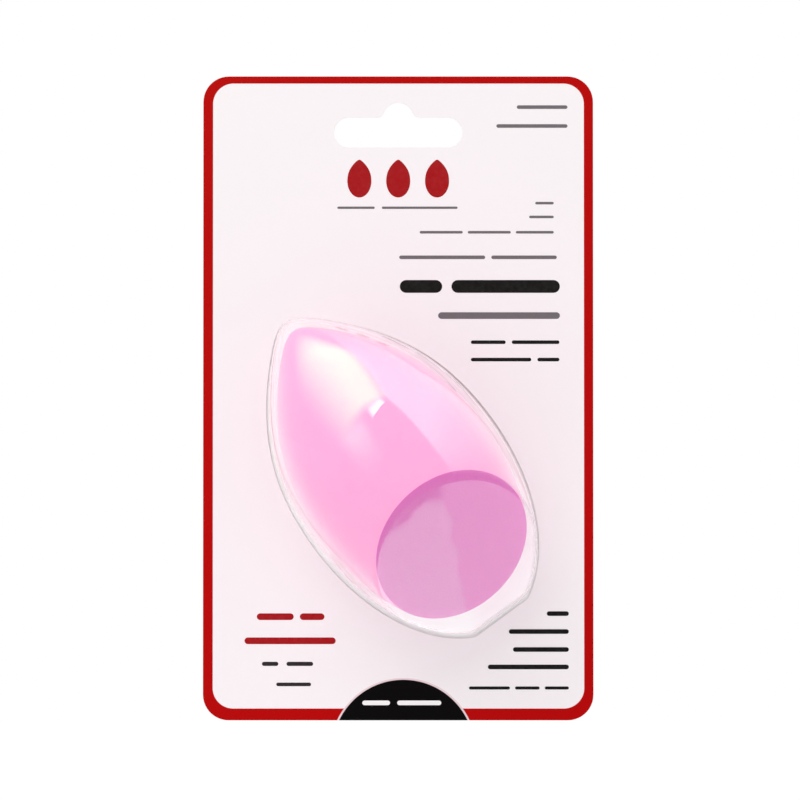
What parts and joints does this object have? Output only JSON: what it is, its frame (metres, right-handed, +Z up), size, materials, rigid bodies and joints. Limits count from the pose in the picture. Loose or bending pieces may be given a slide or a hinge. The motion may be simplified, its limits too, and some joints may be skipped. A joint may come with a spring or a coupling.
{
  "type": "carded makeup sponge",
  "caption": "Pink foam egg sponge with a slanted flat cut, in a clear formed dome trapped between two hang cards.",
  "frame": {"origin": "crown of the hang slot's arch, on the pack's back face, where a peg carries it", "axes": "+Z up along the card's height, +X to the viewer's right across the card, +Y out of the back face, away from the viewer; the dome stands out towards -Y"},
  "size_m": [0.0762, 0.0401, 0.1258],
  "materials": {
    "printed_board": "satin",
    "plain_board": "matte",
    "clear_sheet": "gloss",
    "foam": "matte"
  },
  "bodies": {
    "pack_front": {"front_card": "printed_board", "blister": "clear_sheet"},
    "pack_back": {"back_card": "plain_board"},
    "foam_sponge": {"sponge": "foam"}
  },
  "joints": [
    {"name": "back_card_peel", "type": "hinge", "parent": "pack_front", "child": "pack_back", "pos_m": [0, -0.0005, -0.1207], "axis": [-1, 0, 0], "range_deg": [0, 110]},
    {"name": "sponge_out", "type": "slide", "parent": "pack_front", "child": "foam_sponge", "axis": [0, 1, 0], "range_m": [0, 0.05]}
  ],
  "couplings": [
    {"joint": "sponge_out", "follows": "back_card_peel", "m_per_rad": 0.025}
  ]
}
